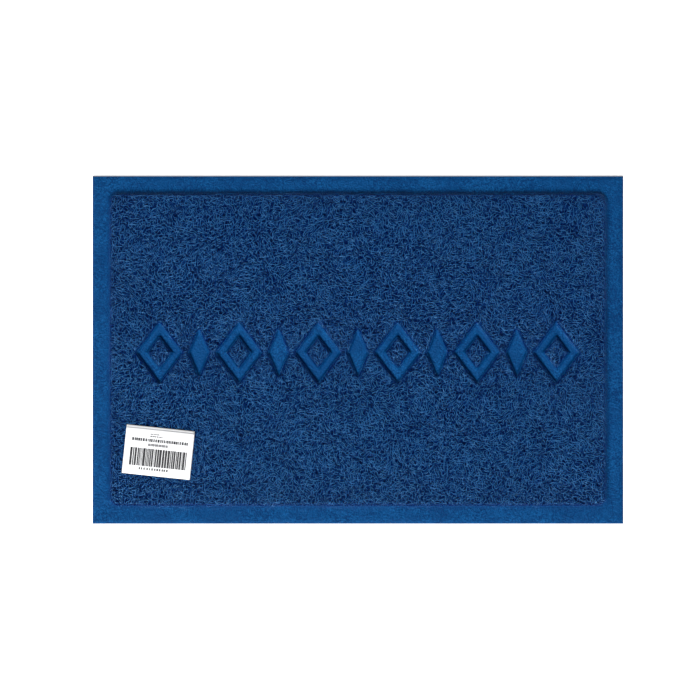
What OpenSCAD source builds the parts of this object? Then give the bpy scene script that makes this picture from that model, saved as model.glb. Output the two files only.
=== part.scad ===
// Vinyl coil door mat: a backing film, a raised coil pile, a flat fused border,
// a row of pressed ornaments and a folded paper label on the pile.
// Millimetres, +Z up. The origin is the middle of the underside, on the floor.
// +X runs along the long side and +Y towards the back edge.

/* [Mat] */
// Length of the mat along X
mat_length = 600; // [570:5:760]
// Width of the mat along Y
mat_width = 393; // [300:1:500]
// Thickness of the backing film
backing_thickness = 1; // [0.6:0.1:2]
// Height of the pile's tips above the floor
pile_top = 10; // [7:0.5:16]

/* [Fused border] */
// Width of the flat border on all four sides
border_width = 20; // [12:1:25]
// Height of the border's face above the floor
border_top = 2.8; // [2.4:0.1:4]
// Radius of the pile's corners inside the border
pile_corner_radius = 10; // [4:1:20]

/* [Ornament row] */
// Length of the whole row, from tip to tip
row_length = 500; // [450:5:510]
// Height of a large ornament along Y
large_height = 69; // [60:1:80]
// Width of a large ornament along X
large_width = 52; // [46:1:54]
// Width of the pressed stroke of a large ornament
stroke_width = 9.5; // [7:0.5:12]
// Height of a small ornament along Y
small_height = 56; // [30:1:70]
// Width of a small ornament along X
small_width = 23; // [12:1:25]
// Distance of the row's middle line in front of the mat's middle
row_shift = 3; // [0:1:20]
// Height of the pressed faces above the floor
pressed_top = 3; // [2.4:0.1:4]

/* [Paper label] */
// Length of the label along its fold
label_length = 77; // [50:1:100]
// Width of the label's front leaf
label_width = 51; // [35:1:65]
// How far the back leaf stands out past the front leaf
leaf_step = 2.4; // [0:0.2:4]
// Thickness of the card
card_thickness = 0.4; // [0.2:0.1:0.8]
// Gap between the two leaves
leaf_gap = 0.6; // [0.4:0.1:1.2]
// Distance of the label's middle to the left of the mat's middle
label_left = 225; // [150:0.5:230]
// Distance of the label's middle in front of the mat's middle
label_front = 115.5; // [80:0.5:118]
// Turn of the label on the pile, in degrees
label_turn = -6; // [-10:0.5:10]

/* [Hidden] */
$fn = 64;
ornament_count = 11;
function two_digits(n) = str(n < 10 ? "0" : "", n);
function ornament_name(i) = str("ornament_", two_digits(i + 1));

pile_length = mat_length - 2 * border_width;
pile_width = mat_width - 2 * border_width;
ornament_pitch = (row_length - large_width) / (ornament_count - 1);
function is_large(i) = i % 2 == 0;
function ornament_x(i) = (i - (ornament_count - 1) / 2) * ornament_pitch;
// Share of a large ornament's outline that its island keeps, so the stroke is stroke_width wide
large_side = sqrt(pow(large_width, 2) + pow(large_height, 2)) / 2;
large_inradius = large_width * large_height / 4 / large_side;
island_share = 1 - stroke_width / large_inradius;
// The folded card's end, seen along the fold
fold_outer = (2 * card_thickness + leaf_gap) / 2;
fold_inner = leaf_gap / 2;

module backing_film() {
    color([0.03, 0.10, 0.22])
        translate([-mat_length / 2, -mat_width / 2, 0])
            cube([mat_length, mat_width, backing_thickness]);
}

// Outline of the raised pile: a rectangle with round corners
module pile_outline() {
    square([pile_length - 2 * pile_corner_radius, pile_width], center = true);
    square([pile_length, pile_width - 2 * pile_corner_radius], center = true);
    for (side = [-1, 1], end = [-1, 1])
        translate([side * (pile_length / 2 - pile_corner_radius), end * (pile_width / 2 - pile_corner_radius)])
            circle(r = pile_corner_radius);
}

module lozenge(width, height) {
    polygon([[width / 2, 0], [0, height / 2], [-width / 2, 0], [0, -height / 2]]);
}

// Outline of one pressed ornament in its place: hollow when large, solid when small
module ornament_outline(i) {
    translate([ornament_x(i), -row_shift])
        if (is_large(i)) {
            difference() {
                lozenge(large_width, large_height);
                lozenge(large_width * island_share, large_height * island_share);
            }
        } else {
            lozenge(small_width, small_height);
        }
}

module coil_pile() {
    color([0.04, 0.16, 0.40])
        translate([0, 0, backing_thickness])
            linear_extrude(height = pile_top - backing_thickness)
                difference() {
                    pile_outline();
                    for (i = [0 : ornament_count - 1])
                        ornament_outline(i);
                }
}

module fused_border() {
    color([0.05, 0.26, 0.50])
        translate([0, 0, backing_thickness])
            linear_extrude(height = border_top - backing_thickness)
                difference() {
                    square([mat_length, mat_width], center = true);
                    pile_outline();
                }
}

module ornament(i) {
    color([0.05, 0.26, 0.50])
        translate([0, 0, backing_thickness])
            linear_extrude(height = pressed_top - backing_thickness)
                ornament_outline(i);
}

// The card seen along its fold: a back leaf, a front leaf and the half round between them
module folded_card_profile() {
    square([label_width + leaf_step, card_thickness]);
    translate([0, card_thickness + leaf_gap])
        square([label_width, card_thickness]);
    translate([0, fold_outer])
        difference() {
            circle(r = fold_outer);
            circle(r = fold_inner);
            translate([0, -fold_outer])
                square(2 * fold_outer);
        }
}

module folded_label() {
    color([0.93, 0.94, 0.95])
        translate([-label_left, -label_front, pile_top])
            rotate([0, 0, label_turn])
                translate([-label_length / 2, -label_width / 2, 0])
                    rotate([90, 0, 90])
                        linear_extrude(height = label_length)
                            folded_card_profile();
}

backing_film();
coil_pile();
fused_border();
for (i = [0 : ornament_count - 1])
    ornament(i);
folded_label();
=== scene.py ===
"""Door mat of vinyl coil: the pieces that are seen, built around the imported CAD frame.

Metres, +Z up, origin in the middle of the underside. Heat has pressed the coil flat in the border and in
a row of ornaments. Everywhere else it stands up as a pile of loops, and a folded paper label lies on it.
"""
import math

import bpy
import numpy as np
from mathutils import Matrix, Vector
from mathutils.geometry import delaunay_2d_cdt


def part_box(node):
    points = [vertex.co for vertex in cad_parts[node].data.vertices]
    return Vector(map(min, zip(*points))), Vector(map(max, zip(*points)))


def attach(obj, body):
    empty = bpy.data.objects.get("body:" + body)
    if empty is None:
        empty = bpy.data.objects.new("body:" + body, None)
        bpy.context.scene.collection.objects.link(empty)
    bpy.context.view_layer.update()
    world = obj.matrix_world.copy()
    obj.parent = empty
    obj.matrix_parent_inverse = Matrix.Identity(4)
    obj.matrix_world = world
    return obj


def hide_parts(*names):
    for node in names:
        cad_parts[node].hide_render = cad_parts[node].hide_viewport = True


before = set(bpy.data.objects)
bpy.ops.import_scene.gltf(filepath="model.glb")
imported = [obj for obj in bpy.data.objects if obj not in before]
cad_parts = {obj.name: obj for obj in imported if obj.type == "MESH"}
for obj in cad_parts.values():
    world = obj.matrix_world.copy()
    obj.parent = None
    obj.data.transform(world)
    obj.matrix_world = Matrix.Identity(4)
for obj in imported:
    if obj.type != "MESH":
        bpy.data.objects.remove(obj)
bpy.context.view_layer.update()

MM = 0.001
SEED = 7
LATTICE_SIZE = 64            # of the random lattice behind every relief
OCTAVES = 2                  # of each relief
SHARP_ANGLE = math.radians(55)   # edges sharper than this stay sharp in the shading

# Outlines
CORNER_RADIUS = 10 * MM      # of the pile inside the border
CORNER_POINTS = 49
STROKE = 9.5 * MM            # width of a large ornament's pressed line
TIP_RADIUS = 1.6 * MM        # of an ornament's corners
TIP_POINTS = 9
POINT_SPACING = 1.2 * MM     # along the sides

# Strands
STRAND_RADIUS = 0.31 * MM
STRAND_RADIUS_SHARES = (0.88, 1.1)
STRAND_STEP = 1.3 * MM       # between two points of a strand
STRAND_POINTS = 36
STRAND_SIDES = 5
PAINTED_HIGHLIGHT_GAIN = 4.0             # a painted highlight: a strand's tone counts its ridge as this many times as far above its middle
WAVE_LENGTHS = (9, 18)       # millimetres of its side-to-side curl on the plan
WAVE_SWINGS = (0.14, 0.38)   # sharpest turn of that curl, per millimetre
LEAN = 0.07                  # standard deviation of its steady turn to one side, per millimetre
RISE_LENGTHS = (7 * MM, 13 * MM)   # of its up-and-down wave
END_LENGTH = 3.5 * MM        # of its dip at each end
ROOT_DEPTH = 1.2 * MM        # of its ends under the fused lower coils' top
SHOULDER_WIDTH = 3.4 * MM    # from the pile's edge to its full height
SHOULDER_POWER = 0.7
LYING_WIDTH = 0.5 * SHOULDER_WIDTH   # the same to where a strand no longer lies on the pressed vinyl
TIP_GAP = 0.1 * MM           # from the CAD pile's top to the highest strands' own tops
LABEL_GAP = 1.2 * STRAND_RADIUS   # the same to the middles of the highest strands under the label
TIP_RELIEF = 0.04 * MM       # of the highest strands
TIP_CELL = 25 * MM

# Where strands turn back at the pile's edges, and how they run out on the pressed vinyl, sunk into it
TURN_ZONE = 2.2 * MM
SHARPEST_TURN = 0.75 / MM
INMOST_MARGIN = 2.0 * MM     # from the pile's edge, inside it
MELT_REACH = 2.2 * MM        # furthest margin outside it
FRONT_MELT_REACH = 6.0 * MM  # the same for strands that start in the front zone
FRONT_ZONE = 15 * MM
MELT_SUNK = (0.12 * MM, 0.32 * MM)   # centre lines under the pressed surface
JUMP_LIMIT = 0.8 * MM        # outside its margin, past which a strand is left out

# How strands are spread: the cells on which crowding is measured first, with the rounds of moves on each
SPREAD_SCALES = ((7 * MM, 20), (3 * MM, 30), (1.8 * MM, 25))
SPREAD_ROUNDS = 9            # on a layer's own cells
SPREAD_BLURS = 2
SPREAD_BORDER = 9            # cells of the same grid round the mat
SPREAD_LIMIT = 0.4 * MM      # of one move
# Each layer's strands per square metre, cell on which they keep a distance, lowest and highest middle level,
# and least and most rise and dip about it
LAYERS = ((17500, 0.9 * MM, (9.0 * MM, 9.4 * MM), (0.3 * MM, 0.8 * MM)),
          (14000, 0.9 * MM, (7.6 * MM, 8.4 * MM), (0.3 * MM, 0.6 * MM)),
          (11000, 0.9 * MM, (5.6 * MM, 6.4 * MM), (0.3 * MM, 0.5 * MM)))
TILES = (4, 4)               # the strands are kept in this many pieces along X and Y

# Strands pressed into the border
PRESSED_STRANDS = 17000      # per square metre
PRESSED_CELL = 1.1 * MM      # on which they keep a distance
PRESSED_MARGIN = 2.4 * MM    # from the mat's edge
PRESSED_OUTREACH = 1 * MM    # most that one may run past that margin, or into the pile
PRESSED_RADIUS = 0.48 * MM   # squashed wide
PRESSED_RADIUS_SHARES = (0.8, 1.15)
PRESSED_FLATNESS = 0.45      # height as a share of width
PRESSED_SIDES = 6
PRESSED_SUNK = (0.06 * MM, 0.16 * MM)   # centre line under the surface

# Paper label
LABEL_TURN = math.radians(-6)
CARD_THICKNESS = 0.3 * MM


# ---------------------------------------------------------------- frame

def corners_of(node):
    low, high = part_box(node)
    return np.array(low), np.array(high)


FILM_LOW, FILM_HIGH = corners_of("backing_film")
PILE_LOW, PILE_HIGH = corners_of("coil_pile")
ORNAMENTS = sorted(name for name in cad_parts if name.startswith("ornament_"))
LARGE, SMALL = ORNAMENTS[0::2], ORNAMENTS[1::2]


def centre_of(node):
    low, high = corners_of(node)
    return (low + high)[:2] / 2


def half_of(node):
    low, high = corners_of(node)
    return (high - low)[:2] / 2


LARGE_HALF, SMALL_HALF = half_of(LARGE[0]), half_of(SMALL[0])
LARGE_INRADIUS = LARGE_HALF[0] * LARGE_HALF[1] / math.hypot(*LARGE_HALF)
ISLAND_HALF = LARGE_HALF * (1 - STROKE / LARGE_INRADIUS)
FILM_TOP = FILM_HIGH[2]
BORDER_TOP = corners_of("fused_border")[1][2]
PRESSED_TOP = corners_of(ORNAMENTS[0])[1][2]
PILE_TOP = PILE_HIGH[2]


# ---------------------------------------------------------------- outlines and distances

def rounded_outline(corners, radius, side_counts, arc_count):
    """Points round a convex outline with round corners, anticlockwise, and the outward direction at each."""
    corners = np.asarray(corners, float)
    along = np.roll(corners, -1, 0) - corners
    out = np.stack([along[:, 1], -along[:, 0]], 1) / np.linalg.norm(along, axis=1)[:, None]
    reach = (out * corners).sum(1) - radius
    count = len(corners)
    centres = [np.linalg.solve([out[i - 1], out[i]], [reach[i - 1], reach[i]]) for i in range(count)]
    points, outward = [], []
    for i in range(count):
        start = math.atan2(out[i - 1][1], out[i - 1][0])
        turn = (math.atan2(out[i][1], out[i][0]) - start) % (2 * math.pi)
        angles = start + turn * np.linspace(0, 1, arc_count)
        arc = np.stack([np.cos(angles), np.sin(angles)], 1)
        side_start = centres[i] + radius * out[i]
        side_end = centres[(i + 1) % count] + radius * out[i]
        share = (np.arange(1, side_counts[i]) / side_counts[i])[:, None]
        points += [centres[i] + radius * arc, side_start + share * (side_end - side_start)]
        outward += [arc, np.repeat(out[i][None], side_counts[i] - 1, 0)]
    return np.concatenate(points), np.concatenate(outward)


def rectangle_corners(half_x, half_y):
    return [(half_x, -half_y), (half_x, half_y), (-half_x, half_y), (-half_x, -half_y)]


def lozenge_corners(half_x, half_y):
    return [(half_x, 0), (0, half_y), (-half_x, 0), (0, -half_y)]


def pile_outline():
    half = (PILE_HIGH - PILE_LOW)[:2] / 2
    straight = 2 * (half - CORNER_RADIUS)
    across, along = (int(round(s / POINT_SPACING)) for s in straight)
    return rounded_outline(rectangle_corners(*half), CORNER_RADIUS, [along, across] * 2, CORNER_POINTS)


def lozenge_outline(half):
    """A lozenge's points: as many for every size, so that loops of two sizes can be joined."""
    count = int(round(math.hypot(*LARGE_HALF) / POINT_SPACING))
    return rounded_outline(lozenge_corners(*half), TIP_RADIUS, [count] * 4, TIP_POINTS)[0]


def distance_from_pile_outline(p):
    """Positive outside the pile's outer edge, negative inside it."""
    half = (PILE_HIGH - PILE_LOW)[:2] / 2 - CORNER_RADIUS
    q = np.abs(p) - half
    return np.linalg.norm(np.maximum(q, 0), axis=1) + np.minimum(q.max(1), 0) - CORNER_RADIUS


def distance_from_lozenge(p, half):
    """Positive outside a lozenge with round corners, negative inside it."""
    normal = half[::-1] / math.hypot(*half)
    inset = half * (1 - TIP_RADIUS / (half[0] * normal[0]))
    start, along = np.array([inset[0], 0]), np.array([-inset[0], inset[1]])
    q = np.abs(p)
    share = np.clip((q - start) @ along / (along @ along), 0, 1)
    gap = np.linalg.norm(q - start - share[:, None] * along, axis=1)
    outside = q @ normal > inset[0] * normal[0]
    return np.where(outside, gap, -gap) - TIP_RADIUS


LARGE_CENTRES = np.array([centre_of(name) for name in LARGE])
SMALL_CENTRES = np.array([centre_of(name) for name in SMALL])


def from_nearest(p, centres):
    return p - centres[np.abs(p[:, :1] - centres[None, :, 0]).argmin(1)]


def depth_in_figures(p):
    """How far a point is outside the pressed ornaments: negative in them."""
    large = from_nearest(p, LARGE_CENTRES)
    ring = np.maximum(distance_from_lozenge(large, LARGE_HALF), -distance_from_lozenge(large, ISLAND_HALF))
    return np.minimum(ring, distance_from_lozenge(from_nearest(p, SMALL_CENTRES), SMALL_HALF))


def depth_in_pile(p):
    """How far a point is inside the standing pile: negative in the border and in the pressed ornaments."""
    return np.minimum(-distance_from_pile_outline(p), depth_in_figures(p))


def depth_in_border(p):
    """How far a point is inside the border: negative in the pile and near the mat's cut edge."""
    return np.minimum(distance_from_pile_outline(p), (FILM_HIGH[:2] - PRESSED_MARGIN - np.abs(p)).min(1))


def deeper(p, depth_of):
    """The direction in which a depth grows, for each point."""
    reach = 0.2 * MM
    slope = np.stack([depth_of(p + step) - depth_of(p - step)
                      for step in (np.array([reach, 0]), np.array([0, reach]))], 1)
    return slope / np.maximum(np.linalg.norm(slope, axis=1), 1e-9)[:, None]


def lattice_relief(p, cell, seed):
    """Smooth random relief between -1 and 1, from random heights on a square lattice of that cell."""
    rng = np.random.default_rng(seed)
    heights = rng.uniform(-1, 1, (LATTICE_SIZE, LATTICE_SIZE))
    place = p / cell + rng.uniform(0, LATTICE_SIZE, 2)
    corner = np.floor(place).astype(int)
    share = smooth(place - corner)
    x, y = corner.T % LATTICE_SIZE
    across, along = share.T
    after_x, after_y = (x + 1) % LATTICE_SIZE, (y + 1) % LATTICE_SIZE
    near = heights[y, x] * (1 - across) + heights[y, after_x] * across
    far = heights[after_y, x] * (1 - across) + heights[after_y, after_x] * across
    return near * (1 - along) + far * along


def relief(p, cell, seed):
    """Lattice relief with finer, weaker relief on it."""
    turned = np.array([[0.8, -0.6], [0.6, 0.8]])
    total = np.zeros(len(p))
    for octave in range(OCTAVES):
        total += 0.5 ** octave * lattice_relief(p @ turned, cell / 2 ** octave, seed + 100 * octave)
        turned = turned @ turned
    return total


def smooth(x):
    x = np.clip(x, 0, 1)
    return x * x * (3 - 2 * x)


# ---------------------------------------------------------------- mesh building

def mesh_piece(name, vertices, *faces, sharp=SHARP_ANGLE):
    """A smooth-shaded mesh from arrays of faces, each with one number of sides. All faces look outwards."""
    vertices = np.asarray(vertices, float)
    volume = sum(np.einsum("ij,ij->", vertices[f[:, 0]], np.cross(vertices[f[:, k]], vertices[f[:, k + 1]]))
                 for f in faces for k in range(1, f.shape[1] - 1))
    if volume < 0:
        faces = [f[:, ::-1] for f in faces]
    sides = np.concatenate([np.full(len(f), f.shape[1]) for f in faces])
    mesh = bpy.data.meshes.new(name)
    mesh.vertices.add(len(vertices))
    mesh.vertices.foreach_set("co", vertices.astype(np.float32).ravel())
    mesh.loops.add(int(sides.sum()))
    mesh.loops.foreach_set("vertex_index", np.concatenate([f.ravel() for f in faces]).astype(np.int32))
    mesh.polygons.add(len(sides))
    mesh.polygons.foreach_set("loop_start", (np.cumsum(sides) - sides).astype(np.int32))
    mesh.update(calc_edges=True)
    mesh.shade_smooth()
    if sharp is not None:
        mesh.set_sharp_from_angle(angle=sharp)
    piece = bpy.data.objects.new(name, mesh)
    bpy.context.scene.collection.objects.link(piece)
    return piece


def point_value(piece, name, values):
    """Keeps one number for each vertex of a piece, for its material to read."""
    layer = piece.data.attributes.new(name, "FLOAT", "POINT")
    layer.data.foreach_set("value", np.asarray(values, np.float32))


def loop_quads(rows, count, closed_rows=False):
    """Quads between loops of count points each; closed_rows joins the last loop to the first."""
    row = np.arange(rows if closed_rows else rows - 1)[:, None] * count
    upper = (row + count) % (rows * count)
    k = np.arange(count)[None, :]
    after = (k + 1) % count
    return np.stack([row + k, row + after, upper + after, upper + k], -1).reshape(-1, 4)


def grid_faces(rows, count):
    """The quads of a grid of points, and the points round its rim in order."""
    index = np.arange(rows * count).reshape(rows, count)
    cells = np.stack([index[:-1, :-1], index[:-1, 1:], index[1:, 1:], index[1:, :-1]], -1).reshape(-1, 4)
    rim = np.concatenate([index[0, :-1], index[:-1, -1], index[-1, :0:-1], index[:0:-1, 0]])
    return cells, rim


def own(piece, material_slot, *nodes):
    """Puts a piece on the mat's one body and hides the CAD nodes it stands for."""
    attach(piece, "root")
    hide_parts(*nodes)
    return piece


# ---------------------------------------------------------------- backing film

FILM_SPACING = 3 * MM
PEBBLE_CELL = 7 * MM
PEBBLE_DEPTH = 0.16 * MM


def backing_film():
    """The film's slab, with a fine pebbled underside whose lowest points are on the floor."""
    nx, ny = (int(round((FILM_HIGH - FILM_LOW)[k] / FILM_SPACING)) + 1 for k in range(2))
    xs, ys = (np.linspace(FILM_LOW[k], FILM_HIGH[k], count) for k, count in enumerate((nx, ny)))
    flat = np.stack(np.meshgrid(xs, ys), -1).reshape(-1, 2)
    pebble = np.abs(relief(flat, PEBBLE_CELL, SEED + 1))
    low = FILM_LOW[2] + PEBBLE_DEPTH * np.minimum(pebble, 1)
    under = np.column_stack([flat, low])
    over = np.column_stack([flat, np.full(len(flat), FILM_TOP)])
    cells, rim = grid_faces(ny, nx)
    following = np.roll(rim, -1)
    shift = nx * ny
    walls = np.stack([rim, following, following + shift, rim + shift], 1)
    film = mesh_piece("backing_film_sheet", np.concatenate([under, over]),
                      cells[:, ::-1], cells + shift, walls)
    return own(film, "backing_vinyl", "backing_film")


# ---------------------------------------------------------------- fused vinyl

FILLET_WIDTH = 8 * MM        # of the slope that climbs from the border to the pile
FILLET_RISE = 3.8 * MM
FILLET_POWER = 3.0
FRONT_FILLET = 0.15          # of that rise, along the front edge
FIGURE_FILLET_WIDTH = 3.2 * MM
FIGURE_FILLET_RISE = 3.2 * MM
FIGURE_FILLET_POWER = 2.4
PAINTED_SHADE_WIDTH = 7 * MM         # of the painted shade along the pile, in the border
# how far that painted shade lowers the tone at the pile's edge
PAINTED_SHADE_DEPTH = 0.4
EDGE_RADIUS = 0.5 * MM       # of the border's cut edge
EDGE_SAG_WIDTH = 6 * MM      # the border thins towards its cut edge
EDGE_SAG = 0.7 * MM
SWELL, SWELL_CELL = 0.12 * MM, 30 * MM      # the pressed vinyl's uneven thickness, wide
RIPPLE, RIPPLE_CELL = 0.05 * MM, 5 * MM     # and narrow
FIGURE_UNEVENNESS = 0.6      # of the same, in the ornaments

# The loops of points in the border's face: their distances from the pile and from the cut edge in
# millimetres, and how many there are between those
BORDER_NEAR = (0, 0.4, 0.8, 1.3, 1.8, 2.4, 3.0, 3.7, 4.4, 5.2, 6.0, 7.0, 8.0)
BORDER_FAR = (1.6, 1.0, 0.6, 0.3, 0.1, 0.0)
BORDER_MIDDLE = 10
# The loops in an ornament's face: places across a pressed line to its middle, or sizes of a solid outline
LINE_SHARES = (0, 0.03, 0.07, 0.12, 0.18, 0.25, 0.34, 0.43, 0.5)
SOLID_SIZES = (1, 0.97, 0.93, 0.88, 0.82, 0.75, 0.66, 0.55, 0.43, 0.3, 0.16)


def fused_relief(p):
    """Uneven thickness of pressed vinyl."""
    return SWELL * relief(p, SWELL_CELL, SEED + 2) + RIPPLE * relief(p, RIPPLE_CELL, SEED + 3)


def border_height(p, from_pile):
    """Height of the border's face at points on the mat that are so far from the pile."""
    half = FILM_HIGH[:2]
    from_edge = np.maximum((half - np.abs(p)).min(1), 0)
    front = smooth((PILE_LOW[1] + CORNER_RADIUS - p[:, 1]) / CORNER_RADIUS)
    rise = FILLET_RISE * (1 - (1 - FRONT_FILLET) * front)
    climb = rise * np.clip(1 - from_pile / FILLET_WIDTH, 0, 1) ** FILLET_POWER
    rounding = np.clip(1 - from_edge / EDGE_RADIUS, 0, 1)
    round_off = EDGE_RADIUS * (1 - np.sqrt(1 - rounding ** 2))
    sag = EDGE_SAG * np.clip(1 - from_edge / EDGE_SAG_WIDTH, 0, 1) ** 2
    unevenness = fused_relief(p) * smooth(from_edge / EDGE_SAG_WIDTH)
    return BORDER_TOP + climb - round_off - sag + unevenness


def painted_pile_shade(from_pile):
    """Painted shade along the pile: a darker tone at points of the border that are so far from the pile."""
    return -PAINTED_SHADE_DEPTH * np.clip(1 - from_pile / PAINTED_SHADE_WIDTH, 0, 1) ** 2


def figure_height(p, from_pile):
    """Height of a pressed ornament's face at points on the mat that are so far from the pile."""
    climb = FIGURE_FILLET_RISE * np.clip(1 - from_pile / FIGURE_FILLET_WIDTH, 0, 1) ** FIGURE_FILLET_POWER
    return PRESSED_TOP + climb + FIGURE_UNEVENNESS * fused_relief(p)


def fused_height(p):
    """Height of the pressed face at each point, or of its wall's top where the point is in the pile."""
    from_pile = np.maximum(-depth_in_pile(p), 0)
    from_border = -distance_from_pile_outline(p)
    to_border = from_border < depth_in_figures(p)
    return np.where(to_border, border_height(p, from_pile), figure_height(p, from_pile))


def closed_band(name, top):
    """A closed band from the loops of its face; its section goes over them and back along the film."""
    feet = [top[-1].copy(), top[0].copy()]
    for foot in feet:
        foot[:, 2] = FILM_TOP
    loops = np.array(top + feet)
    return mesh_piece(name, loops.reshape(-1, 3), loop_quads(len(loops), loops.shape[1], True))


def fused_border():
    """One closed band, whose loops run round the mat."""
    inner, outward = pile_outline()
    half = FILM_HIGH[:2]
    length = ((half - np.abs(inner)) / np.maximum(np.abs(outward), 1e-9)).min(1)
    near, far = np.array(BORDER_NEAR) * MM, np.array(BORDER_FAR) * MM
    middle = np.linspace(0, 1, BORDER_MIDDLE + 2)[1:-1]
    reaches = [np.full(len(inner), d) for d in near]
    reaches += [near[-1] + share * (length - near[-1] - far[0]) for share in middle]
    reaches += [length - d for d in far]
    top = []
    for reach in reaches:
        p = inner + outward * reach[:, None]
        top.append(np.column_stack([p, border_height(p, reach)]))
    band = closed_band("fused_border_band", top)
    # the band's tone attribute carries only the painted shade along the pile
    point_value(band, "tone_and_painted_shade", painted_pile_shade(np.concatenate(reaches + [reaches[-1], reaches[0]])))
    return own(band, "fused_vinyl", "fused_border")


def hollow_figure(name):
    """A pressed lozenge line round an island of pile: a closed band, as the border is."""
    centre = centre_of(name)
    outer, inner = lozenge_outline(LARGE_HALF), lozenge_outline(ISLAND_HALF)
    across = np.array(LINE_SHARES)
    across = np.concatenate([across, 1 - across[-2::-1]])
    top = []
    for share in across:
        p = outer + share * (inner - outer)
        from_pile = STROKE * min(share, 1 - share)
        top.append(np.column_stack([p + centre, figure_height(p + centre, np.full(len(p), from_pile))]))
    return own(closed_band(name + "_pressed", top), "fused_vinyl", name)


def solid_figure(name):
    """A pressed solid lozenge: loops that shrink to a middle point, above and underneath."""
    centre = centre_of(name)
    outline = lozenge_outline(SMALL_HALF)
    inradius = SMALL_HALF[0] * SMALL_HALF[1] / math.hypot(*SMALL_HALF)
    top = []
    for size in SOLID_SIZES:
        p = outline * size + centre
        from_pile = np.full(len(p), inradius * (1 - size))
        top.append(np.column_stack([p, figure_height(p, from_pile)]))
    foot = top[0].copy()
    foot[:, 2] = FILM_TOP
    loops = np.array([foot] + top)
    middle = np.array([[*centre, figure_height(centre[None], np.array([inradius]))[0]], [*centre, FILM_TOP]])
    count, last = len(outline), (len(loops) - 1) * len(outline)
    k = np.arange(count)
    after = (k + 1) % count
    tip, base = loops.shape[0] * count, loops.shape[0] * count + 1
    cap = np.stack([last + k, last + after, np.full(count, tip)], 1)
    floor = np.stack([after, k, np.full(count, base)], 1)
    solid = mesh_piece(name + "_pressed", np.concatenate([loops.reshape(-1, 3), middle]),
                       loop_quads(len(loops), count), cap, floor)
    return own(solid, "fused_vinyl", name)


# ---------------------------------------------------------------- coil pile

BASE_HEIGHT = 5.4 * MM       # of the fused lower coils that the loops stand on
BASE_SPACING = 2.6 * MM
BASE_JITTER = 0.3            # of that spacing
BASE_BUMPS, BASE_BUMP_CELL = 0.6 * MM, 5 * MM
BASE_RIM = 3 * MM            # over which it slopes down to the pressed vinyl
INSIDE_OUTLINES = 1          # what the triangulation keeps
MERGE_DISTANCE = 1e-7


def pile_base():
    """The closed, bumpy layer of fused coils under the loops, with the ornaments cut out."""
    rng = np.random.default_rng(SEED + 4)
    rings = [pile_outline()[0]]
    rings += [lozenge_outline(LARGE_HALF) + centre_of(name) for name in LARGE]
    rings += [lozenge_outline(ISLAND_HALF) + centre_of(name) for name in LARGE]
    rings += [lozenge_outline(SMALL_HALF) + centre_of(name) for name in SMALL]
    edges, start = [], 0
    for ring in rings:
        edges += [(start + i, start + (i + 1) % len(ring)) for i in range(len(ring))]
        start += len(ring)
    xs, ys = (np.arange(PILE_LOW[k], PILE_HIGH[k], BASE_SPACING) for k in range(2))
    inside = np.stack(np.meshgrid(xs, ys), -1).reshape(-1, 2)
    inside = inside + rng.uniform(-BASE_JITTER, BASE_JITTER, inside.shape) * BASE_SPACING
    inside = inside[depth_in_pile(inside) > 0.5 * BASE_SPACING]
    flat = np.concatenate(rings + [inside])
    found = delaunay_2d_cdt([Vector(p) for p in flat.tolist()], edges, [], INSIDE_OUTLINES, MERGE_DISTANCE)
    flat, faces = np.array([tuple(v) for v in found[0]]), np.array(found[2])
    faces = faces[depth_in_pile(flat[faces].mean(1)) > 0]
    depth = np.maximum(depth_in_pile(flat), 0)
    inner_share = smooth(depth / BASE_RIM)
    inner_height = BASE_HEIGHT + BASE_BUMPS * relief(flat, BASE_BUMP_CELL, SEED + 5)
    height = inner_height * inner_share + fused_height(flat) * (1 - inner_share)
    top = np.column_stack([flat, height])
    foot = np.column_stack([flat, np.full(len(flat), FILM_TOP)])
    shift = len(flat)
    directed = np.concatenate([faces[:, [0, 1]], faces[:, [1, 2]], faces[:, [2, 0]]])
    key = directed.min(1) * shift + directed.max(1)
    _, first, uses = np.unique(key, return_index=True, return_counts=True)
    rim = directed[first[uses == 1]]
    walls = np.stack([rim[:, 1], rim[:, 0], rim[:, 0] + shift, rim[:, 1] + shift], 1)
    used, index = np.unique(np.concatenate([faces.ravel(), (faces[:, ::-1] + shift).ravel(), walls.ravel()]),
                            return_inverse=True)
    tris = index[:2 * faces.size].reshape(-1, 3)
    quads = index[2 * faces.size:].reshape(-1, 4)
    base = mesh_piece("coil_pile_base", np.concatenate([top, foot])[used], tris, quads)
    point_value(base, "strand_melt", np.concatenate([1 - inner_share, 1 - inner_share])[used])
    return own(base, "coil_vinyl", "coil_pile")


def under_label(p):
    """True where a point is under the label, or within a strand of its edge."""
    local = to_label(p)
    low, high = LABEL_LOW - STRAND_RADIUS, LABEL_HIGH + STRAND_RADIUS
    return ((local > low) & (local < high)).all(1)


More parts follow.
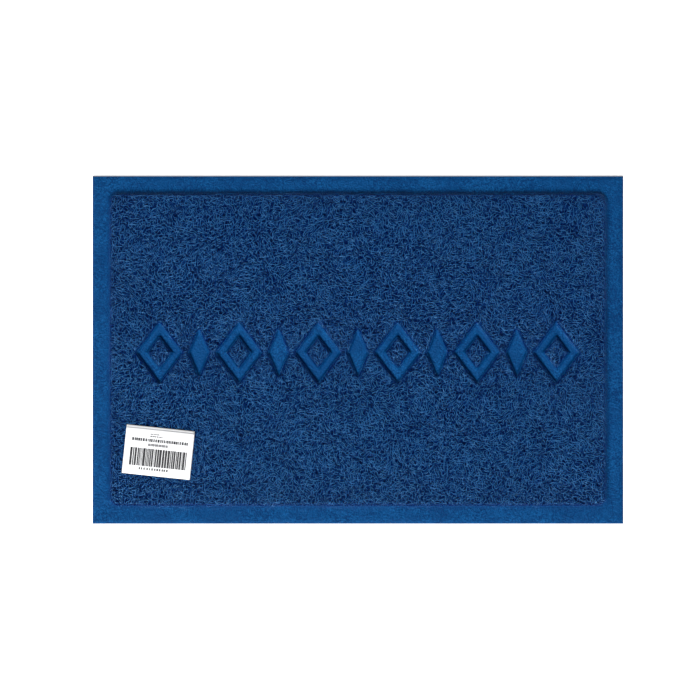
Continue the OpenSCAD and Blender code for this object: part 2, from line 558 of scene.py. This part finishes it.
def wandering_lines(rng, per_m2, depth_of, front_reach):
    """Random curls on the plan, which turn back near the area's edges, and how deep in it each one stays."""
    spacing = 1 / math.sqrt(per_m2)
    start = np.stack(np.meshgrid(*(np.arange(-h, h, spacing) for h in FILM_HIGH[:2])), -1).reshape(-1, 2)
    start = start + rng.uniform(0, spacing, start.shape)
    start = start[depth_of(start) > 0]
    count = len(start)
    heading = rng.uniform(0, 2 * math.pi, count)
    wave = rng.uniform(*WAVE_LENGTHS, count) * MM
    phase = rng.uniform(0, 2 * math.pi, count)
    swing = rng.uniform(*WAVE_SWINGS, count) / MM
    lean = rng.normal(0, LEAN, count) / MM
    reach = np.where(start[:, 1] < PILE_LOW[1] + FRONT_ZONE, front_reach, MELT_REACH)
    margin = rng.uniform(-reach, INMOST_MARGIN)
    line = np.zeros((count, STRAND_POINTS, 2))
    p = start
    for i in range(STRAND_POINTS):
        line[:, i] = p
        inward = deeper(p, depth_of)
        curl = lean + swing * np.sin(2 * math.pi * i * STRAND_STEP / wave + phase)
        ahead = np.stack([np.cos(heading), np.sin(heading)], 1)
        side = np.sign(ahead[:, 0] * inward[:, 1] - ahead[:, 1] * inward[:, 0])
        urge = np.clip(1 - (depth_of(p) - margin) / TURN_ZONE, 0, 1)
        heading = heading + STRAND_STEP * (curl * (1 - urge) + urge * side * SHARPEST_TURN)
        p = p + STRAND_STEP * np.stack([np.cos(heading), np.sin(heading)], 1)
    return line, margin


def crowding(flat, edges, outside):
    """How many points lie near each cell of a grid, smoothed; cells outside the area are left neutral."""
    crowd = np.histogram2d(flat[:, 0], flat[:, 1], edges)[0]
    crowd /= crowd[~outside].mean()
    crowd[outside] = 1
    for axis in (0, 1) * SPREAD_BLURS:
        crowd = (np.roll(crowd, 1, axis) + 2 * crowd + np.roll(crowd, -1, axis)) / 4
    return crowd


def spread_evenly(line, own_cell, depth_of):
    """Moves strands from crowded places to thin ones, at finer and finer scales, so that they lie apart."""
    for cell, rounds in (*SPREAD_SCALES, (own_cell, SPREAD_ROUNDS)):
        around = SPREAD_BORDER * cell
        edges = [np.arange(-h - around, h + around, cell) for h in FILM_HIGH[:2]]
        middles = np.stack(np.meshgrid(*(e[:-1] + cell / 2 for e in edges), indexing="ij"), -1)
        outside = (depth_of(middles.reshape(-1, 2)) < 0).reshape(middles.shape[:2])
        for _ in range(rounds):
            slope = np.stack(np.gradient(crowding(line.reshape(-1, 2), edges, outside)), -1)
            index = [((line[..., k] - edges[k][0]) / cell).astype(int) for k in range(2)]
            push = -slope[index[0], index[1]] * cell
            for _ in range(2):
                push[:, 1:-1] = (push[:, :-2] + 2 * push[:, 1:-1] + push[:, 2:]) / 4
            line = line + np.clip(push, -SPREAD_LIMIT, SPREAD_LIMIT)
    for _ in range(2):
        line[:, 1:-1] = (line[:, :-2] + 2 * line[:, 1:-1] + line[:, 2:]) / 4
    return line


def kept_in(line, margin, depth_of):
    """The strands with the points that are outside their strand's margin brought back to it."""
    flat = line.reshape(-1, 2)
    margin = np.repeat(margin, STRAND_POINTS)
    for _ in range(2):
        flat = flat + deeper(flat, depth_of) * np.maximum(margin - depth_of(flat), 0)[:, None]
    return flat.reshape(line.shape)


def cuts_across(line, margin, depth_of):
    """True for each strand that somewhere jumps over ground outside its margin."""
    middles = (line[:, 1:] + line[:, :-1]).reshape(-1, 2) / 2
    return (depth_of(middles).reshape(len(line), -1) < margin[:, None] - JUMP_LIMIT).any(1)


def settled(line, margin, cell, depth_of):
    """The strands spread evenly inside their margins, without those that cut across the area's edges."""
    spread = kept_in(spread_evenly(line, cell, depth_of), margin, depth_of)
    strayed = cuts_across(spread, margin, depth_of)
    spread[strayed] = kept_in(line[strayed], margin[strayed], depth_of)
    return spread[~cuts_across(spread, margin, depth_of)]


def strand_layer(rng, per_m2, cell, levels, rises):
    """Centre lines of one layer of loops, and for each point how far it is melted into pressed vinyl."""
    line = settled(*wandering_lines(rng, per_m2, depth_in_pile, FRONT_MELT_REACH), cell, depth_in_pile)
    count, flat = len(line), line.reshape(-1, 2)
    along = np.arange(STRAND_POINTS) * STRAND_STEP
    turns = along / rng.uniform(*RISE_LENGTHS, (count, 1)) + rng.uniform(0, 1, (count, 1))
    height = rng.uniform(*levels, (count, 1)) + rng.uniform(*rises, (count, 1)) * np.sin(2 * math.pi * turns)
    ends = smooth(np.minimum(along, along[-1] - along) / END_LENGTH)
    root = BASE_HEIGHT - ROOT_DEPTH
    height = (root + (height - root) * ends).ravel()
    depth = depth_in_pile(flat)
    melted = fused_height(flat) - np.repeat(rng.uniform(*MELT_SUNK, count), STRAND_POINTS)
    tips = PILE_TOP - STRAND_RADIUS - TIP_GAP + TIP_RELIEF * relief(flat, TIP_CELL, SEED + 6)
    tips = np.where(under_label(flat), PILE_TOP - LABEL_GAP, tips)
    shoulder = smooth(np.maximum(depth, 0) / SHOULDER_WIDTH) ** SHOULDER_POWER
    height = np.minimum(height, melted + (tips - melted) * shoulder)
    lying = smooth(1 - depth / LYING_WIDTH)
    height = height + (melted - height) * lying
    return np.concatenate([flat, height[:, None]], 1).reshape(count, -1, 3), lying.reshape(count, -1)


def pressed_strands():
    """Strands that heat has pressed flat into the border: their backs just show."""
    rng = np.random.default_rng(SEED + 9)
    line, margin = wandering_lines(rng, PRESSED_STRANDS, depth_in_border, MELT_REACH)
    line = settled(line, np.maximum(margin, -PRESSED_OUTREACH), PRESSED_CELL, depth_in_border)
    count, flat = len(line), line.reshape(-1, 2)
    along = np.arange(STRAND_POINTS) * STRAND_STEP
    ends = 1 - smooth(np.minimum(along, along[-1] - along) / END_LENGTH)
    sunk = rng.uniform(*PRESSED_SUNK, (count, 1)) + ends * PRESSED_FLATNESS * PRESSED_RADIUS
    height = fused_height(flat).reshape(count, -1) - sunk
    paths = np.concatenate([line, height[:, :, None]], 2)
    radii = PRESSED_RADIUS * rng.uniform(*PRESSED_RADIUS_SHARES, count)
    vertices, quads, caps = strand_tubes(paths, radii, PRESSED_SIDES, PRESSED_FLATNESS)
    piece = mesh_piece("fused_border_strands", vertices, quads, caps, sharp=None)
    tone = np.repeat(rng.uniform(-0.5, 0.5, count), STRAND_POINTS)
    # painted shade along the pile, added to each pressed strand's own tone
    tone = tone + painted_pile_shade(distance_from_pile_outline(flat))
    point_value(piece, "tone_and_painted_shade", np.repeat(tone, PRESSED_SIDES))
    return own(piece, "fused_vinyl", "fused_border")


def strand_tubes(paths, radii, sides=STRAND_SIDES, flatness=1.0):
    """Vertices and faces of closed tubes along the paths, round or flattened."""
    count, steps, _ = paths.shape
    ahead = np.gradient(paths, axis=1)
    ahead /= np.linalg.norm(ahead, axis=2, keepdims=True)
    side = np.cross(ahead, [0, 0, 1.0])
    side /= np.linalg.norm(side, axis=2, keepdims=True)
    up = np.cross(side, ahead)
    angles = math.pi / 2 + np.arange(sides) * 2 * math.pi / sides
    around = np.cos(angles)[:, None] * side[:, :, None] + flatness * np.sin(angles)[:, None] * up[:, :, None]
    vertices = paths[:, :, None] + radii[:, None, None, None] * around
    base = np.arange(count)[:, None] * steps * sides
    quads = (base[:, :, None] + loop_quads(steps, sides)[None]).reshape(-1, 4)
    ring = np.arange(sides)[None, :]
    caps = np.concatenate([base + ring[:, ::-1], base + (steps - 1) * sides + ring])
    return vertices.reshape(-1, 3), quads, caps


def coil_loops():
    """The standing loops, in tiles, each strand with its own tone and thickness."""
    rng = np.random.default_rng(SEED)
    layers = [strand_layer(rng, *layer) for layer in LAYERS]
    paths, melt = (np.concatenate(parts) for parts in zip(*layers))
    radii = STRAND_RADIUS * rng.uniform(*STRAND_RADIUS_SHARES, len(paths))
    tone = rng.uniform(-0.5, 0.5, len(paths))
    size = (PILE_HIGH - PILE_LOW)[:2]
    cell = np.clip(((paths[:, 0, :2] - PILE_LOW[:2]) / size * TILES).astype(int), 0, np.array(TILES) - 1)
    tile = cell[:, 1] * TILES[0] + cell[:, 0]
    pieces = []
    for i in range(TILES[0] * TILES[1]):
        mine = tile == i
        vertices, quads, caps = strand_tubes(paths[mine], radii[mine])
        piece = mesh_piece(f"coil_loops_{i + 1:02d}", vertices, quads, caps, sharp=None)
        point_value(piece, "tone_and_painted_shade", np.repeat(tone[mine], STRAND_POINTS * STRAND_SIDES))
        # painted light: each vertex's height, with the ridge pushed up, for painted shade low down and a
        # painted highlight along the top
        middle = np.repeat(paths[mine, :, 2].ravel(), STRAND_SIDES)
        height = middle + PAINTED_HIGHLIGHT_GAIN * (vertices[:, 2] - middle)
        point_value(piece, "painted_light_height", (height - BASE_HEIGHT) / (PILE_TOP - BASE_HEIGHT))
        point_value(piece, "strand_melt", np.repeat(melt[mine].ravel(), STRAND_SIDES))
        pieces.append(own(piece, "coil_vinyl", "coil_pile"))
    return pieces


# ---------------------------------------------------------------- paper label

TO_LABEL = np.array([[math.cos(LABEL_TURN), math.sin(LABEL_TURN)],
                     [-math.sin(LABEL_TURN), math.cos(LABEL_TURN)]])


def to_label(p):
    """Points on the mat, along and across the label."""
    return p @ TO_LABEL.T


CARD_CORNERS = to_label(np.array([v.co[:2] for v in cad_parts["folded_label"].data.vertices]))
LABEL_LOW, LABEL_HIGH = CARD_CORNERS.min(0), CARD_CORNERS.max(0)
LABEL_REST = corners_of("folded_label")[0][2]
LEAF_STEP = 2.4 * MM         # how far the back leaf stands out past the front leaf
LEAF_RISE = 0.5 * MM         # from the back leaf to the front leaf
FOLD_SHARE = 0.05            # of a leaf, over which the fold is round
FOLD_POINTS = (0, 0.004, 0.015, 0.03, FOLD_SHARE)   # across a leaf, where its grid is fine
LEAF_ROWS, LEAF_COLUMNS = 22, 33                    # of the rest of its grid
LEAF_BOW, LEAF_WAVE = 0.35 * MM, 0.2 * MM
CORNER_LIFT = 0.5 * MM       # of the free corner at the right
BACK_LIFT = 0.8              # how much of all that the back leaf follows
INK_THICKNESS = 0.03 * MM    # over the card's face, and as much under it
PRINT_STEPS = 6              # points along a block of print, each way
NARROW_BLOCK = 0.05          # share of the leaf under which a block has 2 points across
GAP_SHARES = (0.6, 1.8)
# Rows of print: left, right, near and far side, shortest and longest block, and gap, as shares of the leaf
BOLD_ROW = (0.10, 0.92, 0.72, 0.785, 0.012, 0.034, 0.006)
BAR_ROW = (0.09, 0.92, 0.18, 0.57, 0.008, 0.036, 0.0055)
TICK_ROW = (0.24, 0.69, 0.10, 0.15, 0.014, 0.024, 0.014)
GREY_ROWS = ((0.36, 0.50, 0.875, 0.90, 0.014, 0.04, 0.005),
             (0.36, 0.54, 0.825, 0.855, 0.014, 0.04, 0.005),
             (0.34, 0.63, 0.625, 0.68, 0.014, 0.06, 0.005))


def leaf_lift(along, across):
    """Gentle waves of the card, and its lift at a free corner; shares of the leaf, 0 to 1."""
    wave = LEAF_BOW * np.sin(2.2 * along + 0.6) + LEAF_WAVE * np.cos(5.1 * along + 2 * across)
    corner = CORNER_LIFT * smooth((along + across - 1.35) / 0.65)
    return wave + corner


def leaf(along, across, width, side, lift, rise=0.0):
    """A point on one leaf, in the mat's frame, from its shares along the fold and away from it.

    side is 1 for the front leaf and -1 for the back one.
    """
    length = LABEL_HIGH[0] - LABEL_LOW[0]
    local = np.stack([LABEL_LOW[0] + along * length, LABEL_LOW[1] + across * width], -1)
    fold = 1 - (1 - np.clip(across / FOLD_SHARE, 0, 1)) ** 2
    height = LABEL_REST + CARD_THICKNESS / 2 + LEAF_RISE / 2 + side * LEAF_RISE / 2 * fold
    height = height + lift * leaf_lift(along, across) * smooth(across) + rise
    return np.concatenate([local @ TO_LABEL, height[..., None]], -1)


def front_leaf(along, across, rise=0.0):
    return leaf(along, across, LABEL_HIGH[1] - LEAF_STEP - LABEL_LOW[1], 1, 1, rise)


def back_leaf(along, across):
    return leaf(along, across, LABEL_HIGH[1] - LABEL_LOW[1], -1, BACK_LIFT)


def folded_label():
    """One card: back leaf, fold and front leaf as one sheet, then its thickness."""
    across = np.concatenate([FOLD_POINTS, np.linspace(FOLD_SHARE, 1, LEAF_ROWS)[1:]])
    along = np.linspace(0, 1, LEAF_COLUMNS)
    grid_back = back_leaf(*np.meshgrid(along, across[::-1]))
    grid_front = front_leaf(*np.meshgrid(along, across[1:]))
    grid = np.concatenate([grid_back, grid_front])
    label = mesh_piece("folded_label_card", grid.reshape(-1, 3), grid_faces(*grid.shape[:2])[0], sharp=None)
    thick = label.modifiers.new("card", "SOLIDIFY")
    thick.thickness = CARD_THICKNESS
    thick.offset = 0
    thick.use_even_offset = True
    return own(label, "label_card", "folded_label")


def printed(name, blocks):
    """Ink as thin closed patches on the front leaf; a block is its left, right, near and far side."""
    vertices, faces = [], []
    for left, right, near, far in blocks:
        columns = 2 if right - left < NARROW_BLOCK else PRINT_STEPS
        along, across = np.meshgrid(np.linspace(left, right, columns), np.linspace(near, far, PRINT_STEPS))
        top = front_leaf(along, across, CARD_THICKNESS / 2 + INK_THICKNESS).reshape(-1, 3)
        foot = front_leaf(along, across, CARD_THICKNESS / 2 - INK_THICKNESS).reshape(-1, 3)
        cells, rim = (numbers + sum(len(v) for v in vertices) for numbers in grid_faces(*along.shape))
        after = np.roll(rim, -1)
        shift = along.size
        faces += [cells, cells[:, ::-1] + shift, np.stack([after, rim, rim + shift, after + shift], 1)]
        vertices += [top, foot]
    piece = mesh_piece(name, np.concatenate(vertices), np.concatenate(faces), sharp=None)
    return own(piece, "label_card", "folded_label")


def dashes(rng, left, right, near, far, shortest, longest, gap):
    """A row of blocks of random length and spacing, as a stand-in for a printed line."""
    blocks, at = [], left
    while at < right - shortest:
        end = min(at + rng.uniform(shortest, longest), right)
        blocks.append((at, end, near, far))
        at = end + gap * rng.uniform(*GAP_SHARES)
    return blocks


def label_print():
    """Plain rules and a block of plain bars: they say nothing and encode nothing."""
    rng = np.random.default_rng(SEED + 8)
    black = [block for row in (BOLD_ROW, BAR_ROW, TICK_ROW) for block in dashes(rng, *row)]
    grey = [block for row in GREY_ROWS for block in dashes(rng, *row)]
    return printed("label_bars", black), printed("label_rules", grey)


# ---------------------------------------------------------------- materials

BLUE_SHINE = (0.30, 0.60, 1.0, 1)    # the pigment tints the highlights of the pressed vinyl
STRAND_SHINE = (0.22, 0.58, 1.0, 1)  # and those of the filament
VINYL_IOR = 1.5
PAPER_IOR = 1.45
TRACK_WIDTH = 0.06                   # of a melted strand's track, in the noise that it follows
BLACK_INK = ((0.05, 0.05, 0.055), (0.012, 0.012, 0.014))   # thin and full cover
GREY_INK = ((0.28, 0.28, 0.29), (0.16, 0.16, 0.17))


class Look:
    """A material's node tree. add() makes a node; an input given as a socket is linked, any other is set."""

    def __init__(self, name, **values):
        self.material = bpy.data.materials.new(name)
        self.material.use_nodes = True
        self.tree = self.material.node_tree
        self.shader = self.tree.nodes["Principled BSDF"]
        self.set(self.shader, values)

    def set(self, node, values):
        for key, value in values.items():
            socket = node.inputs[key if isinstance(key, int) else key.replace("_", " ")]
            if isinstance(value, bpy.types.NodeSocket):
                self.tree.links.new(value, socket)
            else:
                socket.default_value = value

    def add(self, kind, inputs=None, **settings):
        node = self.tree.nodes.new(kind)
        for key, value in settings.items():
            setattr(node, key, value)
        self.set(node, inputs or {})
        return node

    def place(self):
        return self.add("ShaderNodeTexCoord").outputs["Object"]

    def noise(self, scale, detail=3.0, rough=0.5):
        inputs = {"Vector": self.place(), "Scale": scale, "Detail": detail, "Roughness": rough}
        return self.add("ShaderNodeTexNoise", inputs).outputs["Fac"]

    def span(self, value, low, high, to_low=0.0, to_high=1.0):
        return self.add("ShaderNodeMapRange", {0: value, 1: low, 2: high, 3: to_low, 4: to_high}).outputs[0]

    def maths(self, operation, a, b):
        return self.add("ShaderNodeMath", {0: a, 1: b}, operation=operation).outputs[0]

    def ridge(self, scale, detail):
        """Thin wandering lines, bright along the line: the tracks of melted strands."""
        away = self.maths("ABSOLUTE", self.maths("SUBTRACT", self.noise(scale, detail), 0.5), 0.0)
        return self.span(away, 0.0, TRACK_WIDTH, 1.0, 0.0)

    def colours(self, fac, *stops):
        ramp = self.add("ShaderNodeValToRGB", {"Fac": fac})
        points = ramp.color_ramp.elements
        while len(points) < len(stops):
            points.new(0.5)
        for point, (place, colour) in zip(points, stops):
            point.position = place
            point.color = (*colour, 1)
        return ramp.outputs["Color"]

    def attribute(self, name):
        return self.add("ShaderNodeAttribute", attribute_name=name).outputs["Fac"]

    def mix(self, share, first, second):
        """A colour between a socket's colour and a plain one."""
        node = self.add("ShaderNodeMix", {0: share, 6: first}, data_type="RGBA")
        node.inputs[7].default_value = (*second, 1)
        return node.outputs[2]

    def bump(self, height, distance, strength, under=None):
        inputs = {"Height": height, "Distance": distance, "Strength": strength}
        if under is not None:
            inputs["Normal"] = under
        return self.add("ShaderNodeBump", inputs).outputs["Normal"]

    def finish(self, **values):
        self.set(self.shader, values)
        return self.material


def strand_look():
    """Extruded vinyl filament: glossy, each strand a little lighter or darker, with painted shade low down
    and a painted highlight along its top.
    """
    look = Look("coil_vinyl", IOR=VINYL_IOR, Specular_IOR_Level=1.0, Specular_Tint=STRAND_SHINE)
    own_tone = look.attribute("tone_and_painted_shade")
    melt = look.attribute("strand_melt")
    patches = look.span(look.noise(70.0, 3.0), 0.3, 0.7, -0.01, 0.01)
    # the tone follows height: painted shade low in the pile, a painted highlight on the ridges
    tone = look.maths("ADD", look.span(look.attribute("painted_light_height"), -0.4, 1.1), patches)
    tone = look.maths("MAXIMUM", tone, look.span(melt, 0.0, 1.0, 0.0, 0.86))
    tone = look.maths("ADD", tone, look.maths("MULTIPLY", own_tone, 0.07))
    # the lower stops are painted shade for strands low in the pile, the top stop a painted highlight
    colour = look.colours(tone, (0.25, (0.0001, 0.003, 0.066)), (0.60, (0.0002, 0.010, 0.102)),
                          (0.82, (0.0005, 0.020, 0.128)), (1.0, (0.0160, 0.092, 0.275)))
    rough = look.span(look.noise(900.0, 2.0), 0.3, 0.7, 0.18, 0.26)
    normal = look.bump(look.noise(2600.0, 2.0), 0.05 * MM, 0.5)
    return look.finish(Base_Color=colour, Roughness=rough, Normal=normal)


def base_look():
    """The fused lower coils: rough, with the tracks of melted strands; painted shade makes them far darker
    than the pressed vinyl, and they are paler at the edges.
    """
    look = Look("coil_base_vinyl", IOR=VINYL_IOR, Specular_IOR_Level=0.15, Specular_Tint=BLUE_SHINE)
    tracks = look.ridge(420.0, 2.0)
    # painted shade: the same vinyl as the border, coloured far darker deep in the pile
    depth = look.colours(tracks, (0.0, (0.0002, 0.006, 0.040)), (1.0, (0.0004, 0.016, 0.075)))
    colour = look.mix(look.attribute("strand_melt"), depth, (0.0010, 0.045, 0.160))
    rough = look.span(look.noise(600.0), 0.3, 0.7, 0.5, 0.7)
    return look.finish(Base_Color=colour, Roughness=rough, Normal=look.bump(tracks, 0.5 * MM, 0.8))


def fused_look():
    """Heat-pressed vinyl: satin skin with an orange peel, clouded tone, the tracks of melted strands and
    painted shade along the pile.
    """
    look = Look("fused_vinyl", IOR=VINYL_IOR, Specular_IOR_Level=0.2, Specular_Tint=BLUE_SHINE)
    clouds = look.noise(26.0, 4.0, 0.6)
    grain = look.noise(1500.0, 3.0, 0.6)
    tracks = look.ridge(330.0, 2.0)
    strength = look.span(look.noise(30.0, 2.0), 0.4, 0.65, 0.25, 1.0)
    seen_tracks = look.maths("MULTIPLY", tracks, strength)
    tone = look.span(clouds, 0.3, 0.7, 0.24, 0.52)
    tone = look.maths("ADD", tone, look.maths("MULTIPLY", seen_tracks, 0.5))
    mottle = look.span(look.noise(560.0, 2.0), 0.3, 0.7, -0.7, 0.7)
    tone = look.maths("ADD", tone, look.maths("MULTIPLY", mottle, strength))
    tone = look.maths("ADD", tone, look.span(grain, 0.3, 0.7, -0.2, 0.2))
    # the attribute brings each pressed strand's own tone and the painted shade along the pile
    tone = look.maths("ADD", tone, look.maths("MULTIPLY", look.attribute("tone_and_painted_shade"), 1.1))
    colour = look.colours(tone, (0.0, (0.0002, 0.027, 0.112)), (0.5, (0.0008, 0.047, 0.165)),
                          (1.0, (0.0040, 0.078, 0.240)))
    rough = look.span(grain, 0.3, 0.7, 0.46, 0.62)
    peel = look.bump(look.noise(520.0, 3.0, 0.55), 1.1 * MM, 1.0)
    normal = look.bump(seen_tracks, 0.2 * MM, 0.8, look.bump(grain, 0.2 * MM, 1.0, peel))
    return look.finish(Base_Color=colour, Roughness=rough, Normal=normal)


def backing_look():
    """The backing film: dark matte vinyl with a fine pebble and scuffs."""
    look = Look("backing_vinyl", IOR=VINYL_IOR)
    cells = look.add("ShaderNodeTexVoronoi", {"Vector": look.place(), "Scale": 520.0}).outputs["Distance"]
    scuffs = look.noise(60.0, 5.0, 0.65)
    colour = look.colours(scuffs, (0.35, (0.006, 0.030, 0.095)), (0.65, (0.012, 0.048, 0.135)))
    rough = look.span(scuffs, 0.3, 0.7, 0.55, 0.75)
    normal = look.bump(cells, 0.15 * MM, 0.8, look.bump(look.noise(1800.0), 0.04 * MM, 0.5))
    return look.finish(Base_Color=colour, Roughness=rough, Normal=normal)


def card_look():
    """Uncoated white card: faint fibres and mottling."""
    look = Look("label_card", IOR=PAPER_IOR, Specular_IOR_Level=0.35)
    fibres = look.noise(900.0, 5.0, 0.7)
    mottle = look.noise(70.0, 3.0)
    tone = look.maths("ADD", look.span(fibres, 0.3, 0.7, 0.2, 0.7), look.span(mottle, 0.3, 0.7, -0.2, 0.3))
    colour = look.colours(tone, (0.0, (0.84, 0.85, 0.87)), (1.0, (0.95, 0.96, 0.97)))
    rough = look.span(fibres, 0.3, 0.7, 0.6, 0.8)
    return look.finish(Base_Color=colour, Roughness=rough, Normal=look.bump(fibres, 0.03 * MM, 0.4))


def ink_look(name, light, dark):
    """Printer's ink: slightly uneven cover."""
    look = Look(name, IOR=PAPER_IOR)
    cover = look.noise(1400.0, 3.0, 0.6)
    rough = look.span(cover, 0.3, 0.7, 0.45, 0.7)
    return look.finish(Base_Color=look.colours(cover, (0.3, dark), (0.75, light)), Roughness=rough)


def floor_look():
    """A back-lit white table."""
    look = Look("floor_white", Roughness=0.9, Specular_IOR_Level=0.1, Emission_Strength=TABLE_GLOW)
    look.set(look.shader, {"Emission_Color": (1, 1, 1, 1)})
    tone = look.colours(look.noise(3.0, 2.0), (0.0, (0.90, 0.90, 0.90)), (1.0, (0.92, 0.92, 0.92)))
    return look.finish(Base_Color=tone)


def dress(pieces, material):
    for piece in pieces:
        piece.data.materials.clear()
        piece.data.materials.append(material)


# ---------------------------------------------------------------- stage, lights, camera

VIEW_HEIGHT = 2.4            # of the camera above the floor
VIEW_WIDTH = 0.7922          # of the floor seen across the picture
VIEW_SHIFT = (-0.0089, 0.0)
# Brightness by the sine of the height in the sky: the walls, then the ceiling
STUDIO_LIGHT = ((0.12, 1.0), (0.18, 0.24), (0.90, 0.04))
SOFTBOX_PLACE, SOFTBOX_SIZE, SOFTBOX_WATTS = (-1.6, -4.0, 5.5), (3.4, 1.8), 820
TABLE_GLOW = 0.4
TABLE_SIZE = 6.0
TABLE_GAP = 0.05 * MM        # under the mat


def stage():
    corners = TABLE_SIZE * np.array([(-1, -1, 0), (1, -1, 0), (1, 1, 0), (-1, 1, 0)]) / 2
    corners[:, 2] = FILM_LOW[2] - TABLE_GAP
    floor = mesh_piece("studio_floor", corners, np.array([[0, 1, 2, 3]]), sharp=None)
    dress([floor], floor_look())


def area_light(name, place, size, watts):
    data = bpy.data.lights.new(name, "AREA")
    data.shape = "RECTANGLE"
    data.size, data.size_y = size
    data.energy = watts
    lamp = bpy.data.objects.new(name, data)
    lamp.location = place
    lamp.rotation_euler = (-Vector(place)).to_track_quat("-Z", "Y").to_euler()
    bpy.context.scene.collection.objects.link(lamp)


def studio_air():
    """The studio: light walls and a dim ceiling, so that flat vinyl seen from above keeps its colour."""
    world = bpy.data.worlds.new("studio_air")
    world.use_nodes = True
    tree = world.node_tree
    place = tree.nodes.new("ShaderNodeTexCoord")
    split = tree.nodes.new("ShaderNodeSeparateXYZ")
    fade = tree.nodes.new("ShaderNodeValToRGB")
    tree.links.new(place.outputs["Generated"], split.inputs[0])
    tree.links.new(split.outputs["Z"], fade.inputs["Fac"])
    points = fade.color_ramp.elements
    while len(points) < len(STUDIO_LIGHT):
        points.new(0.5)
    for point, (height, light) in zip(points, STUDIO_LIGHT):
        point.position = height
        point.color = (light, light, light, 1)
    tree.links.new(fade.outputs["Color"], tree.nodes["Background"].inputs["Color"])
    tree.nodes["Background"].inputs["Strength"].default_value = 1
    bpy.context.scene.world = world


def lights():
    studio_air()
    area_light("key_softbox", SOFTBOX_PLACE, SOFTBOX_SIZE, SOFTBOX_WATTS)
    bpy.context.scene.view_settings.view_transform = "Standard"


def camera():
    data = bpy.data.cameras.new("overhead_camera")
    data.sensor_width = 36
    data.lens = data.sensor_width * VIEW_HEIGHT / VIEW_WIDTH
    view = bpy.data.objects.new("overhead_camera", data)
    view.location = (*VIEW_SHIFT, VIEW_HEIGHT)
    bpy.context.scene.collection.objects.link(view)
    bpy.context.scene.camera = view


# ---------------------------------------------------------------- the mat

camera()
stage()
lights()

film = backing_film()
dress([film], backing_look())
pressed = [fused_border()] + [hollow_figure(name) for name in LARGE] + [solid_figure(name) for name in SMALL]
dress(pressed + [pressed_strands()], fused_look())
base = pile_base()
dress([base], base_look())
loops = coil_loops()
dress(loops, strand_look())
card = folded_label()
dress([card], card_look())
bars, rules = label_print()
dress([bars], ink_look("black_ink", *BLACK_INK))
dress([rules], ink_look("grey_ink", *GREY_INK))
